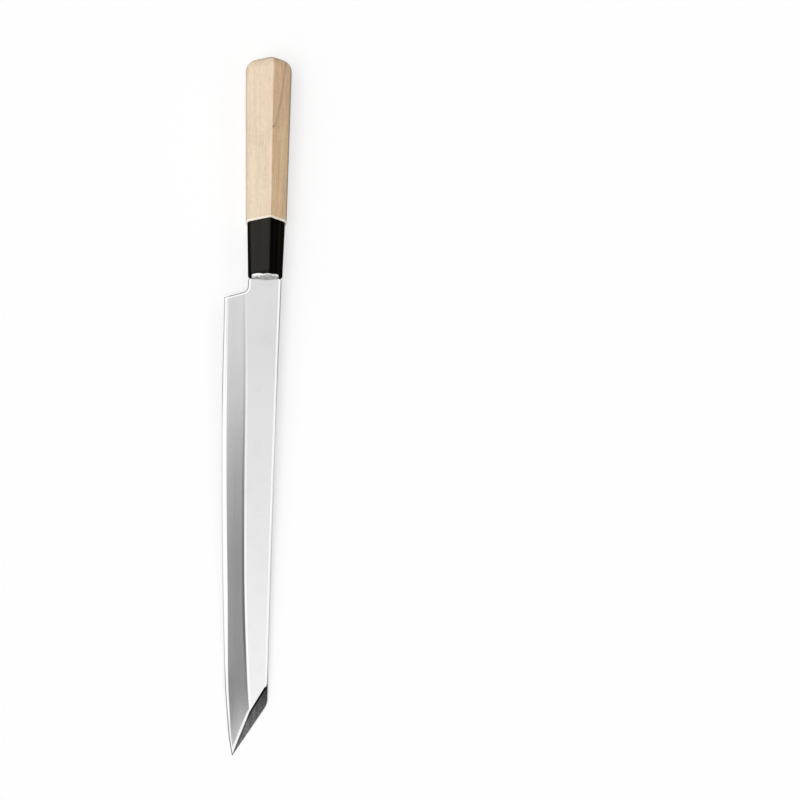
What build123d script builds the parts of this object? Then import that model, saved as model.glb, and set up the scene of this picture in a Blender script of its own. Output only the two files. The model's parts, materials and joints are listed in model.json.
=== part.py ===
from build123d import *
import math
import os

os.makedirs("parts", exist_ok=True)

# A long single-bevel slicing knife with a clipped point and a wooden handle, lying on its flat back.
# X runs across the blade: the cutting edge is on the minus side and the spine on the plus side.
# Y runs along the knife: the butt is on the plus side, the tip on the minus side, the heel corner at 0.
# Z is up, with the flat of the blade's back at 0. All lengths are in millimetres.

# Blade outline, measured from the straight line that runs down the middle of the handle
blade_length = 300.0  # heel corner to tip
heel_drop = 24.65  # heel corner to the handle line
spine_at_neck = 10.0  # spine to the handle line, beside the handle
spine_at_middle = 7.3
spine_at_clip = 5.7  # where the clipped point leaves the spine
clip_length = 34.0  # clipped corner to tip, along the knife
clip_round = 12.0  # radius of that corner
neck_edge = 10.4  # lower side of the neck to the handle line
neck_length = 12.5  # heel corner to the front of the ferrule
notch_rise = 2.5  # how far the heel line climbs toward the neck
notch_round = 4.0
shoulder_round = 1.5

# Blade thickness and ground faces
spine_thickness = 4.0  # at the heel
tip_thickness = 2.0  # where the spine would be at the tip
face_fall = 0.45  # the flat face loses this much from spine to heel corner
spine_ease_width = 0.9  # broken corner along the spine, across the flat face
spine_ease_depth = 0.4
honed_width = 3.0  # widest part of the honed strip behind the edge
honed_angle = 17.5  # degrees, honed strip to the flat back
edge_land = 0.05  # height left at the very edge
clip_facet_width = 6.4  # ground face along the clipped point
clip_land = 0.2

# Hollow ground in the back
hollow_depth = 0.45
hollow_edge_rim = 1.2  # flat left beside the cutting edge
hollow_spine_rim = 2.4  # flat left beside the spine

# Tang
tang_length = 100.0
tang_width = 10.0
tang_end_width = 5.0
tang_thickness = 3.2
tang_end_thickness = 2.2

# Handle: widths across X, ridge heights and back depths from the plane through the tang
ferrule_length = 36.0
ferrule_front_width = 20.9
ferrule_front_ridge = 9.2
ferrule_front_back = 9.0
ferrule_rear_width = 23.0
ferrule_rear_ridge = 10.0
ferrule_rear_back = 9.3
ferrule_chamfer = 0.8
wood_length = 108.5
wood_front_width = 24.8
wood_front_ridge = 10.5
wood_front_back = 9.9
wood_butt_width = 28.1
wood_butt_ridge = 11.7
wood_butt_back = 10.4
wood_chamfer = 1.0
butt_round = 8.0
ridge_round = 0.7
side_round = 4.0
back_round = 6.5
ridge_offset_share = 0.11  # ridge toward the spine, as a share of the width
shoulder_height_share = 0.1  # top of the upright sides, as a share of the width

# Joints inside the handle
tenon_diameter = 11.6
tenon_drop = 0.5  # tenon axis below the plane through the tang
tenon_length = 18.0
tenon_clearance = 0.1
tenon_end_gap = 0.5
bore_clearance = 0.2  # wood to tang, each side
bore_end_gap = 3.0
seal_thickness = 0.6  # resin between tang and ferrule, each side
seal_gap = 1.6  # resin between the end of the neck and the face of the ferrule
seal_width = 16.4  # the low roof of resin on that face; its heights are counted as the handle's
seal_shoulder = 1.9
seal_ridge = 5.2
seal_back = 4.4
overrun = 1.5  # how far every cut runs past the material

# Stations down the blade as shares of its length from the heel. At each one: the cutting edge and
# the ridge line between flat face and bevel, as shares of heel_drop, and the width of the honed
# strip as a share of honed_width.
station_shares = (-0.03, 0, 0.21, 0.42, 0.66, 0.84, 0.91, 0.96, 1, 1.03)
edge_shares = (1, 1, 1.013, 0.983, 0.904, 0.815, 0.751, 0.693, 0.61, 0.53)
ridge_line_shares = (0.5, 0.487, 0.437, 0.421, 0.368, 0.267, 0.203, 0.153, 0.11, 0.08)
honed_width_shares = (0.55, 0.6, 0.8, 1, 1, 0.85, 0.75, 0.65, 0.5, 0.5)

# The hollow of the back: where its sections lie, how deep each one is, and how much of the flat
# between its two rims each one spans, counted from the cutting edge.
hollow_station_shares = (0.012, 0.06, 0.22, 0.44, 0.66, 0.83, 0.9, 0.95)
hollow_depth_shares = (0.08, 0.6, 1, 1, 0.85, 0.55, 0.3, 0.06)
hollow_span_shares = (0.9, 0.97, 1, 1, 1, 1, 0.8, 0.44)

# Where the sections of the spine's broken corner lie, as shares of the way from neck to tip
spine_shares = (-0.02, 0.3, 0.6, 0.9, 1.02)

# The rounded butt: quarter turns, in degrees, at which its sections are taken
butt_turns = (0, 30, 55, 75, 90)

ferrule_rear = neck_length + ferrule_length
butt_end = ferrule_rear + wood_length
tang_middle = spine_thickness / 2
clip_corner = Vector(spine_at_clip, clip_length - blade_length)
tip = Vector(-heel_drop * edge_shares[station_shares.index(1)], -blade_length)


def station_plane(y):
    """Upright plane across the knife; the sketch's own Y on it is height."""
    return Plane.XZ.offset(-y)


def handle_plane(y):
    """The same plane with its heights counted from the middle of the tang."""
    return Plane(Vector(0, y, tang_middle), Vector(1, 0, 0), Vector(0, -1, 0))


def between(start, end, share):
    return start + (end - start) * share


def flat_height(x, y):
    """Height of the flat upper face, thinner toward the tip and a little thinner toward the edge."""
    along = between(spine_thickness, tip_thickness, -y / blade_length)
    return along - face_fall * (spine_at_neck - x) / (spine_at_neck + heel_drop)


def point_on_flat(x, y):
    return Vector(x, y, flat_height(x, y))


def tang_section(y, clearance=0):
    """Section of the tang at y, grown by a clearance on every side."""
    share = (y - neck_length) / tang_length
    width = between(tang_width, tang_end_width, share) + 2 * clearance
    thickness = between(tang_thickness, tang_end_thickness, share) + 2 * clearance
    with BuildSketch(handle_plane(y)) as section:
        Rectangle(width, thickness)
    return section.sketch


def seal_section(y, shoulder, ridge, back):
    """Section of the resin in front of the ferrule: a low roof under the ferrule's own."""
    side = seal_width / 2
    with BuildSketch(handle_plane(y)) as section:
        with BuildLine():
            Polyline(
                (-side, -back),
                (-side, shoulder),
                (seal_width * ridge_offset_share, ridge),
                (side, shoulder),
                (side, -back),
                close=True,
            )
        make_face()
    return section.sketch


def handle_section(y, width, ridge, back, share=1):
    """Section of the handle: two faces that meet in a ridge, upright sides and a flat back.

    The share draws the whole section smaller about the tang, for the rounded butt."""
    side = share * width / 2
    top = share * ridge
    bottom = -share * back
    shoulder = share * width * shoulder_height_share
    with BuildSketch(handle_plane(y)) as section:
        with BuildLine():
            Polyline(
                (-side, bottom),
                (-side, shoulder),
                (share * width * ridge_offset_share, top),
                (side, shoulder),
                (side, bottom),
                close=True,
            )
        make_face()
        fillet(section.vertices().sort_by(Axis.Y)[-1], share * ridge_round)
        fillet(section.vertices().sort_by(Axis.Y)[2:4], share * side_round)
        fillet(section.vertices().sort_by(Axis.Y)[0:2], share * back_round)
    return section.sketch


def chamfered_taper(front, rear, broken):
    """Sections of a straight taper from front to rear whose front rim is broken all round."""
    share = broken / (rear[0] - front[0])
    behind = [between(a, b, share) for a, b in zip(front, rear)]
    return [
        handle_section(*front, 1 - 2 * broken / front[1]),
        handle_section(*behind),
        handle_section(*rear),
    ]


ferrule_front = (
    neck_length,
    ferrule_front_width,
    ferrule_front_ridge,
    ferrule_front_back,
)
ferrule_back = (ferrule_rear, ferrule_rear_width, ferrule_rear_ridge, ferrule_rear_back)
wood_front = (ferrule_rear, wood_front_width, wood_front_ridge, wood_front_back)
wood_back = (butt_end - butt_round, wood_butt_width, wood_butt_ridge, wood_butt_back)

# Blade: neck and blade in one outline
edge_points = [
    (-heel_drop * edge, -blade_length * station)
    for station, edge in zip(station_shares, edge_shares)
    if 0 <= station <= 1
]
neck_end = neck_length - seal_gap
neck_top = flat_height(0, neck_end) - tang_middle
spine_middle_y = between(neck_end, clip_corner.Y, 0.5)
flat_origin = point_on_flat(0, 0)
flat_plane = Plane(
    origin=flat_origin,
    x_dir=point_on_flat(heel_drop, 0) - flat_origin,
    z_dir=(point_on_flat(heel_drop, 0) - flat_origin).cross(
        point_on_flat(0, blade_length) - flat_origin
    ),
)
clip_line = (tip - clip_corner).normalized()
clip_inward = Vector(clip_line.Y, -clip_line.X)
facet_inner = clip_corner + clip_inward * clip_facet_width
facet_rise = flat_height(facet_inner.X, facet_inner.Y) - clip_land
facet_slope = clip_inward * clip_facet_width + Vector(0, 0, facet_rise)
facet_plane = Plane(
    origin=tip + Vector(0, 0, clip_land),
    x_dir=clip_line,
    z_dir=facet_slope.cross(clip_line),
)


def spine_at(y):
    """Distance of the spine from the handle line: the parabola through its three named points."""
    share = (neck_end - y) / (neck_end - clip_corner.Y)
    return (
        spine_at_neck * (1 - share) * (1 - 2 * share)
        + spine_at_middle * 4 * share * (1 - share)
        + spine_at_clip * share * (2 * share - 1)
    )


def outline_edge_at(y):
    """Cutting edge at y, on the straight run between the two stations around it."""
    places = [(-blade_length * s, -heel_drop * e) for s, e in zip(station_shares, edge_shares)]
    for (y0, x0), (y1, x1) in zip(places, places[1:]):
        if y1 <= y <= y0:
            return between(x0, x1, (y - y0) / (y1 - y0))


def cut_above(y, inner, outer, past=overrun):
    """Section of a cut whose floor is the line through two points, run on past both of them."""
    along = (outer - inner).normalized() * past
    inner, outer = inner - along, outer + along
    top = spine_thickness + past
    with BuildSketch(station_plane(y)) as section:
        with BuildLine():
            Polyline(inner, outer, (outer.X, top), (inner.X, top), close=True)
        make_face()
    return section.sketch


def hollow_section(y, low, high, depth):
    """Section of the hollow: an arc that rises into the steel from one rim to the other."""
    with BuildSketch(station_plane(y)) as section:
        with BuildLine():
            ThreePointArc((low, 0), (between(low, high, 0.5), depth), (high, 0))
            Polyline((high, 0), (high, -overrun), (low, -overrun), (low, 0))
        make_face()
    return section.sketch


with BuildPart() as blade:
    with BuildSketch() as outline:
        with BuildLine():
            Line((-neck_edge, neck_end), (spine_at_neck, neck_end))
            ThreePointArc(
                (spine_at_neck, neck_end), (spine_at_middle, spine_middle_y), clip_corner
            )
            Line(clip_corner, tip)
            Spline(*reversed(edge_points))
            Line((-heel_drop, 0), (-neck_edge, notch_rise))
            Line((-neck_edge, notch_rise), (-neck_edge, neck_end))
        make_face()
        fillet(outline.vertices().sort_by_distance(clip_corner)[0], clip_round)
        fillet(outline.vertices().sort_by_distance((-neck_edge, notch_rise))[0], notch_round)
        fillet(outline.vertices().group_by(Axis.Y)[-1], shoulder_round)
    extrude(amount=spine_thickness + overrun)
    split(bisect_by=flat_plane, keep=Keep.BOTTOM)

    # Broken corner along the spine
    sections = []
    for station in spine_shares:
        y = between(neck_length, -blade_length, station)
        corner = Vector(spine_at(y), flat_height(spine_at(y), y))
        on_face = corner - Vector(spine_ease_width, 0)
        sections.append(cut_above(y, on_face, corner - Vector(0, spine_ease_depth)))
    loft(sections, mode=Mode.SUBTRACT)

    # Bevel from the ridge line down to the honed strip, then the strip itself
    bevel_sections, honed_sections = [], []
    for station, edge, ridge_line, honed in zip(
        station_shares, edge_shares, ridge_line_shares, honed_width_shares
    ):
        y = -blade_length * station
        ridge = Vector(-heel_drop * ridge_line, flat_height(-heel_drop * ridge_line, y))
        edge = Vector(-heel_drop * edge, edge_land)
        strip = edge + Vector(1, math.tan(math.radians(honed_angle))) * (honed_width * honed)
        bevel_sections.append(cut_above(y, ridge, strip, honed_width + overrun))
        honed_sections.append(cut_above(y, strip, edge))
    loft(bevel_sections, mode=Mode.SUBTRACT)
    loft(honed_sections, mode=Mode.SUBTRACT)

    # Facet along the clipped point
    split(bisect_by=facet_plane, keep=Keep.BOTTOM)

    # Hollow in the back, an arc from rim to rim at every station
    sections = []
    for station, depth, span in zip(
        hollow_station_shares, hollow_depth_shares, hollow_span_shares
    ):
        y = -blade_length * station
        low = hollow_edge_rim + outline_edge_at(y)
        high = between(low, spine_at(y) - hollow_spine_rim, span)
        sections.append(hollow_section(y, low, high, hollow_depth * depth))
    loft(sections, mode=Mode.SUBTRACT)

    # Tang
    loft([tang_section(neck_end), tang_section(neck_length + tang_length)])
blade.part.label = "blade"
export_step(blade.part, "parts/blade.step")

# Ferrule: horn cap with a slot for the tang in front and a socket for the wood behind
with BuildPart() as ferrule:
    loft(chamfered_taper(ferrule_front, ferrule_back, ferrule_chamfer), ruled=True)
    loft(
        [
            tang_section(neck_length - overrun, seal_thickness),
            tang_section(ferrule_rear + overrun, seal_thickness),
        ],
        mode=Mode.SUBTRACT,
    )
    with BuildSketch(handle_plane(ferrule_rear)):
        with Locations((0, -tenon_drop)):
            Circle(tenon_diameter / 2 + tenon_clearance)
    extrude(amount=tenon_length + tenon_end_gap, mode=Mode.SUBTRACT)
ferrule.part.label = "ferrule"
export_step(ferrule.part, "parts/ferrule.step")

# Wooden handle: a straight taper, a rounded butt, a tenon in front and a blind bore for the tang
with BuildPart() as handle_body:
    loft(chamfered_taper(wood_front, wood_back, wood_chamfer), ruled=True)
    cap = []
    for turn in butt_turns:
        along = butt_round * math.sin(math.radians(turn))
        inset = butt_round * (1 - math.cos(math.radians(turn)))
        share = 1 - 2 * inset / wood_butt_width
        cap.append(handle_section(wood_back[0] + along, *wood_back[1:], share))
    loft(cap)
    with BuildSketch(handle_plane(ferrule_rear)):
        with Locations((0, -tenon_drop)):
            Circle(tenon_diameter / 2)
    extrude(amount=tenon_length)
    loft(
        [
            tang_section(ferrule_rear - tenon_length - overrun, bore_clearance),
            tang_section(neck_length + tang_length + bore_end_gap, bore_clearance),
        ],
        mode=Mode.SUBTRACT,
    )
handle_body.part.label = "handle_body"
export_step(handle_body.part, "parts/handle_body.step")

# Resin that fills the slot round the tang and the gap between the neck and the ferrule
with BuildPart() as mouth_seal:
    loft(
        [
            tang_section(neck_length, seal_thickness),
            tang_section(ferrule_rear - tenon_length - tenon_end_gap, seal_thickness),
        ]
    )
    loft(
        [
            seal_section(neck_length, seal_shoulder, seal_ridge, seal_back),
            seal_section(neck_end, neck_top, neck_top, tang_middle),
        ],
        ruled=True,
    )
    loft(
        [
            tang_section(neck_end - overrun),
            tang_section(ferrule_rear),
        ],
        mode=Mode.SUBTRACT,
    )
mouth_seal.part.label = "mouth_seal"
export_step(mouth_seal.part, "parts/mouth_seal.step")
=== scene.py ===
# %% [markdown]
# # A slicing knife in Blender
#
# The knife lies on white paper: a long blade ground on one side only, with a clipped point, a black
# horn ferrule and a bare wooden handle with one ridge. A imported CAD model is the fixed frame. Every
# piece made here stands in the place of one of its nodes and gives it its looks. The first cell
# loads the frame and keeps its box.

import json
import math
from collections import namedtuple

import bmesh
import bpy
from mathutils import Matrix, Vector

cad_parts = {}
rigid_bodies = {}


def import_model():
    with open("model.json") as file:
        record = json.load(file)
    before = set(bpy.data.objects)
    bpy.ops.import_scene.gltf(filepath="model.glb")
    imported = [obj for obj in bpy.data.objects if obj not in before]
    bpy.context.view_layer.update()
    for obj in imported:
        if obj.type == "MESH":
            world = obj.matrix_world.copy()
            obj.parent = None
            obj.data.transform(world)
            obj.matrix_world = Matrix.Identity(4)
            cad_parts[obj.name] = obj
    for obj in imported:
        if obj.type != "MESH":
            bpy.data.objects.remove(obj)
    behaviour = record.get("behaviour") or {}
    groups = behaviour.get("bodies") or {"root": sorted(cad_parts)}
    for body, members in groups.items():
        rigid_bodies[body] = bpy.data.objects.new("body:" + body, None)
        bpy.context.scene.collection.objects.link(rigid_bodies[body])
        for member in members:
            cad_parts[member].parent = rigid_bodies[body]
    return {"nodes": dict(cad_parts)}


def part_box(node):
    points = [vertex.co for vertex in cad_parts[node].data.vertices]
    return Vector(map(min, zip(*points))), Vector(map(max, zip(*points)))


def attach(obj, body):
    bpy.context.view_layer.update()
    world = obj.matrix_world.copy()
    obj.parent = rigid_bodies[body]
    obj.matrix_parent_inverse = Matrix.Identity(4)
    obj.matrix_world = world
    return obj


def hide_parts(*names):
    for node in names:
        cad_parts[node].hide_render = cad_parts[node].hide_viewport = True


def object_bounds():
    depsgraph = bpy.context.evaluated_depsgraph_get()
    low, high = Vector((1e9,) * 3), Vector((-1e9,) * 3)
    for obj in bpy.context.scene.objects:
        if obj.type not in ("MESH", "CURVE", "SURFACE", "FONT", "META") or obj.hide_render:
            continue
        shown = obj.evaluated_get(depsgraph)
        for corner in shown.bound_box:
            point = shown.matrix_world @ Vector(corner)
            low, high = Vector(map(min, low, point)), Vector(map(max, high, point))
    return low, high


for left_over in list(bpy.data.objects):
    bpy.data.objects.remove(left_over)
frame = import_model()
cad_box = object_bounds()
scene = bpy.context.scene
scene.view_settings.view_transform = "Standard"
MM = 0.001


def in_mm(corners):
    """The corners of a box in rounded millimetres."""
    return [round(v / MM, 2) for corner in corners for v in corner]


print("nodes:", sorted(frame["nodes"]))
print("box in mm:", in_mm(cad_box))

# %% [markdown]
# ## Camera
#
# The photograph shows hardly any perspective, so it was taken from well back. Here too the lens is
# long and stands ten metres away, and it leans from upright toward the side of the knife's tip.
# Five fitted numbers place it: the tilt, the lean of the knife in the picture, the width of the
# view at the knife, and the pixel where one known point of the knife falls.

# %% Make the camera
IMAGE_PIXELS = 800
CAMERA_DISTANCE = 10.0
CAMERA_TILT = math.radians(22.56)
CAMERA_LEAN = math.radians(-0.79)
PIXELS_PER_MM = 1.645
PIVOT = Vector((0, -73 * MM, 0))
PIVOT_PIXEL = (262.94, 408.37)

back_to_camera = Vector((0, -math.sin(CAMERA_TILT), math.cos(CAMERA_TILT)))
level_up = Vector((0, math.cos(CAMERA_TILT), math.sin(CAMERA_TILT)))
lean = Matrix.Rotation(-CAMERA_LEAN, 3, back_to_camera)
view_up = lean @ level_up
view_right = view_up.cross(back_to_camera)
metres_per_pixel = MM / PIXELS_PER_MM
aim = (
    PIVOT
    + view_right * (IMAGE_PIXELS / 2 - PIVOT_PIXEL[0]) * metres_per_pixel
    - view_up * (IMAGE_PIXELS / 2 - PIVOT_PIXEL[1]) * metres_per_pixel
)
camera = bpy.data.objects.new("camera", bpy.data.cameras.new("camera"))
scene.collection.objects.link(camera)
camera.data.lens = camera.data.sensor_width * CAMERA_DISTANCE / (IMAGE_PIXELS * metres_per_pixel)
camera.data.clip_end = 10 * CAMERA_DISTANCE
turn = Matrix((view_right, view_up, back_to_camera)).transposed().to_4x4()
camera.matrix_world = Matrix.Translation(aim + back_to_camera * CAMERA_DISTANCE) @ turn
scene.camera = camera
print("lens:", round(camera.data.lens), "mm")

# %% [markdown]
# ## Small helpers for node trees
#
# Materials, the world and the geometry trees are all built in code. A few short helpers keep that
# readable: one adds a node and fills or links its inputs, the others stand for the kinds of node
# that come back most. Each gives back what the next line needs, so a tree reads like a recipe from
# top to bottom. A tree's sums are written with its own calculator.


# %% Node helpers
def fill(tree, node, inputs):
    """Fill a node's inputs with values, or link them, by name or number."""
    for name, value in dict(inputs).items():
        if isinstance(value, bpy.types.NodeSocket):
            tree.links.new(value, node.inputs[name])
        else:
            node.inputs[name].default_value = value


def add_node(tree, kind, inputs=(), **settings):
    """Add a node with its settings and its inputs."""
    node = tree.nodes.new(kind)
    for name, value in settings.items():
        setattr(node, name, value)
    fill(tree, node, inputs)
    return node


def calculator(tree):
    """A short way to add Math nodes to one tree, each given as its result."""

    def calc(operation, *values, clamp=False):
        node = add_node(tree, "ShaderNodeMath", enumerate(values), operation=operation)
        node.use_clamp = clamp
        return node.outputs[0]

    return calc


def product_of(tree, product, *others):
    """Several values multiplied."""
    for other in others:
        product = calculator(tree)("MULTIPLY", product, other)
    return product


def vector_calc(tree, operation, *values, **named):
    """One Vector Math node. A distance or a dot product comes out as a plain value."""
    inputs = {**dict(enumerate(values)), **named}
    outputs = add_node(tree, "ShaderNodeVectorMath", inputs, operation=operation).outputs
    return outputs["Value" if operation in ("DISTANCE", "DOT_PRODUCT") else "Vector"]


def spread_of(tree, value, low, high):
    """A value between two limits, spread from 0 to 1 with soft ends."""
    inputs = {0: value, 1: low, 2: high}
    return add_node(tree, "ShaderNodeMapRange", inputs, interpolation_type="SMOOTHSTEP").outputs[0]


def ramp(tree, share, stops):
    """A colour ramp through (place, brightness) stops, given as its colour."""
    node = add_node(tree, "ShaderNodeValToRGB", {0: share})
    elements = node.color_ramp.elements
    elements[0].position, elements[1].position = stops[0][0], stops[-1][0]
    for place, _ in stops[1:-1]:
        elements.new(place)
    for element, (_, level) in zip(elements, stops):
        element.color = (level, level, level, 1)
    return node.outputs["Color"]


def blend_colours(tree, share, first, second):
    """The second colour over the first, by a share from 0 to 1."""
    inputs = {0: share, 6: first, 7: second}
    return add_node(tree, "ShaderNodeMix", inputs, data_type="RGBA").outputs[2]


# %% [markdown]
# ## Studio
#
# Steel has hardly any colour of its own: it shows the room. So the world is a simple photo tent,
# white overhead and to the left, a little dimmer between the two, with a dark gap and one more
# light panel on the right. Low down on both sides it is dark, and toward its two open ends it
# fades. Only the angle round the knife's length matters otherwise, so one colour ramp holds it.
# A soft sun from the camera's left adds shape. Together they light a white card to just under
# white, so each colour renders about as it is written. The camera itself sees plain white.

# %% World and sun
TENT = (  # degrees round the knife's length, 0 straight up, minus to the left; brightness there
    (-90, 0.05),
    (-67, 0.05),
    (-62, 1.0),
    (-34, 1.0),
    (-30, 0.92),
    (-24, 0.86),
    (-18, 0.85),
    (-11, 0.85),
    (-6, 0.92),
    (-2, 1.0),
    (9, 1.0),
    (18, 0.2),
    (36, 0.17),
    (44, 1.0),
    (58, 1.0),
    (66, 0.05),
    (90, 0.03),
)
OPEN_ENDS = (0.8, 0.93)  # how far a view line points along the knife where the tent fades, and ends
OUTSIDE = (0.05, 0.05, 0.05, 1)
WHITE = (1, 1, 1, 1)
SUN_FROM = Vector((-0.3, -0.4, 0.85))
SUN_STRENGTH = 0.38 * math.pi
SUN_WIDTH = math.radians(40)

world = bpy.data.worlds.new("photo_tent")
scene.world = world
world.use_nodes = True
sky = world.node_tree
sky.nodes.clear()
calc = calculator(sky)
view_line = add_node(sky, "ShaderNodeTexCoord").outputs["Generated"]
parts = add_node(sky, "ShaderNodeSeparateXYZ", {0: view_line}).outputs
angle = calc("ARCTAN2", parts["X"], parts["Z"])
share = calc("MULTIPLY_ADD", angle, 1 / math.pi, 0.5, clamp=True)
tent = ramp(sky, share, [(degrees / 180 + 0.5, level) for degrees, level in TENT])
lengthwise = spread_of(sky, calc("ABSOLUTE", parts["Y"]), *OPEN_ENDS)
tent = blend_colours(sky, lengthwise, tent, OUTSIDE)
seen_directly = add_node(sky, "ShaderNodeLightPath").outputs["Is Camera Ray"]
backdrop = blend_colours(sky, seen_directly, tent, WHITE)
background = add_node(sky, "ShaderNodeBackground", {"Color": backdrop})
add_node(sky, "ShaderNodeOutputWorld", {"Surface": background.outputs[0]})

sun = bpy.data.objects.new("soft_sun", bpy.data.lights.new("soft_sun", "SUN"))
scene.collection.objects.link(sun)
sun.data.energy = SUN_STRENGTH
sun.data.angle = SUN_WIDTH
sun.rotation_euler = SUN_FROM.to_track_quat("Z", "Y").to_euler()
print("tent stops:", len(TENT))

# %% [markdown]
# ## Paper to lie on
#
# The handle is thicker than the blade, so a knife that lies on its back touches the table only with
# its tip and with the front of the wood. The paper is a plane through those two places, which leans
# by little more than a degree. The camera sees only a part of the light that falls on it, and an
# even glow of its own, so it looks white and keeps a faint shadow. In polished faces it looks dark,
# as the table under a photo tent does beside the tent's own light.

# %% Lay the paper
PAPER_SIZE = 8.0
PAPER_WHITE = (0.93, 0.93, 0.93, 1)  # toward the knife
PAPER_SEEN = (0.36, 0.36, 0.36, 1)  # toward the camera, which also sees the glow
PAPER_MIRRORED = (0.04, 0.04, 0.04, 1)  # in polished faces
PAPER_GLOW = 0.635
PAPER_GAP = 0.03 * MM
BLADE_LENGTH = -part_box("blade")[0][1] / MM
WOOD_REST = (49.5, -7.91)  # where the wood touches: along the knife, and height

paper_fall = math.atan2(-WOOD_REST[1], WOOD_REST[0] + BLADE_LENGTH)
bpy.ops.mesh.primitive_plane_add(size=PAPER_SIZE)
paper = bpy.context.object
paper.name = "paper"
paper.rotation_euler.x = -paper_fall
paper.location = Vector((0, -BLADE_LENGTH * MM, -PAPER_GAP))
white_paper = bpy.data.materials.new("white_paper")
white_paper.use_nodes = True
page = white_paper.node_tree
rays = add_node(page, "ShaderNodeLightPath").outputs
whiteness = blend_colours(page, rays["Is Camera Ray"], PAPER_WHITE, PAPER_SEEN)
whiteness = blend_colours(page, rays["Is Glossy Ray"], whiteness, PAPER_MIRRORED)
dull_white = {
    "Base Color": whiteness,
    "Roughness": 0.9,
    "Specular IOR Level": 0.0,
    "Emission Color": WHITE,
    "Emission Strength": calculator(page)("MULTIPLY", rays["Is Camera Ray"], PAPER_GLOW),
}
fill(page, page.nodes["Principled BSDF"], dull_white)
paper.data.materials.append(white_paper)
print("paper leans by", round(math.degrees(paper_fall), 2), "degrees")

# %% [markdown]
# ## The blade's rules
#
# The blade has a flat back with a shallow hollow, and a front in several ground faces: a narrow
# honed strip behind the edge, the broad bevel, the upper flat, a broken corner along the spine and
# a facet along the clipped point. Each face is a plane or nearly one, so the front is the lowest of
# them everywhere. The outline and the lines between the faces follow tables along the length, in
# millimetres, with the CAD model's own values. Only two things are drawn a little otherwise: the
# honed strip is wider toward the heel and narrower toward the tip than the model's, and the hollow
# runs out to nothing at both ends.

# %% Blade sizes and tables
HEEL_DROP = 24.65
SPINE = (10.0, 7.3, 5.7)  # spine from the handle line: at the neck, at the middle, at the clip
CLIP_LENGTH = 34.0
CLIP_ROUND = 12.0
NECK_EDGE = 10.4
NECK_END = 10.9
NOTCH_RISE = 2.5
NOTCH_ROUND = 4.0
SHOULDER_ROUND = 1.5
SPINE_THICKNESS = 4.0
TIP_THICKNESS = 2.0
FACE_FALL = 0.45
SPINE_EASE = (0.9, 0.4)  # width and depth
HONED_WIDTH = 3.0
HONED_SLOPE = math.tan(math.radians(17.5))
EDGE_LAND = 0.05
FACET_WIDTH = 6.4
CLIP_LAND = 0.2
HOLLOW_DEPTH = 0.45
HOLLOW_RIMS = (1.2, 2.4)  # flat left beside the edge, and beside the spine
TANG = ((10.0, 3.2), (5.0, 2.2))  # width and thickness, at the neck and at its end
TANG_END = 112.5

STATIONS = (-0.03, 0, 0.21, 0.42, 0.66, 0.84, 0.91, 0.96, 1, 1.03)
EDGE_SHARES = (1, 1, 1.013, 0.983, 0.904, 0.815, 0.751, 0.693, 0.61, 0.53)
RIDGE_SHARES = (0.5, 0.487, 0.437, 0.421, 0.368, 0.267, 0.203, 0.153, 0.11, 0.08)
HONED_SHARES = (0.9, 0.9, 0.97, 1, 0.97, 0.64, 0.54, 0.42, 0.35, 0.35)
HOLLOW_STATIONS = (-0.1, 0, 0.06, 0.22, 0.44, 0.66, 0.83, 0.9, 0.96, 1.1)
HOLLOW_SHARES = (0, 0, 0.6, 1, 1, 0.85, 0.55, 0.3, 0, 0)
SPAN_SHARES = (0.9, 0.9, 0.97, 1, 1, 1, 1, 0.8, 0.4, 0.2)


def between(start, end, share):
    return start + (end - start) * share


def from_table(stations, values, at):
    """Value at any station, on a smooth curve through the table."""
    last = len(stations) - 2
    k = max(i for i in range(last + 1) if stations[i] <= at or i == 0)
    gap = stations[k + 1] - stations[k]
    share = (at - stations[k]) / gap

    def steepness(i):
        i, j = max(i - 1, 0), min(i + 1, last + 1)
        return (values[j] - values[i]) / (stations[j] - stations[i]) * gap

    rise, start, end = values[k + 1] - values[k], steepness(k), steepness(k + 1)
    curve = (start + end - 2 * rise) * share + (3 * rise - 2 * start - end)
    return values[k] + share * (start + share * curve)


print("blade length in mm:", round(BLADE_LENGTH, 2))

# %% [markdown]
# ### Where the blade ends on each side
#
# The edge side runs up from the tip, turns at the heel corner, climbs along the heel line and goes
# round the notch into the neck. The spine side is a shallow curve to the clipped corner, an arc
# round it and a straight line to the tip. Two functions give both sides at any place along the
# length, and a third gives the height of the front there, the lowest of all its faces.

# %% Outline
CLIP_CORNER = Vector((SPINE[2], CLIP_LENGTH - BLADE_LENGTH))
TIP = Vector((-HEEL_DROP * EDGE_SHARES[STATIONS.index(1)], -BLADE_LENGTH))
clip_along = (TIP - CLIP_CORNER).normalized()
clip_inward = Vector((clip_along.y, -clip_along.x))
heel_slope = NOTCH_RISE / (HEEL_DROP - NECK_EDGE)
heel_turn = math.atan(heel_slope)
notch_middle = Vector((-NECK_EDGE - NOTCH_ROUND, 0))
notch_middle.y = (notch_middle.x + HEEL_DROP) * heel_slope + NOTCH_ROUND / math.cos(heel_turn)
notch_start = notch_middle.y - NOTCH_ROUND * math.cos(heel_turn)
shoulder_start = NECK_END - SHOULDER_ROUND


def shoulder_inset(y):
    """How far the neck's rounded shoulder has drawn in at y."""
    rise = max(y - shoulder_start, 0)
    return SHOULDER_ROUND - math.sqrt(max(SHOULDER_ROUND**2 - rise**2, 0))


def edge_at(y):
    return -HEEL_DROP * from_table(STATIONS, EDGE_SHARES, -y / BLADE_LENGTH)


def edge_side(y):
    """Left end of the row at y."""
    if y <= 0:
        return edge_at(y)
    if y < notch_start:
        return -HEEL_DROP + y / heel_slope
    if y < notch_middle.y:
        return notch_middle.x + math.sqrt(NOTCH_ROUND**2 - (y - notch_middle.y) ** 2)
    return -NECK_EDGE + shoulder_inset(y)


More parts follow.
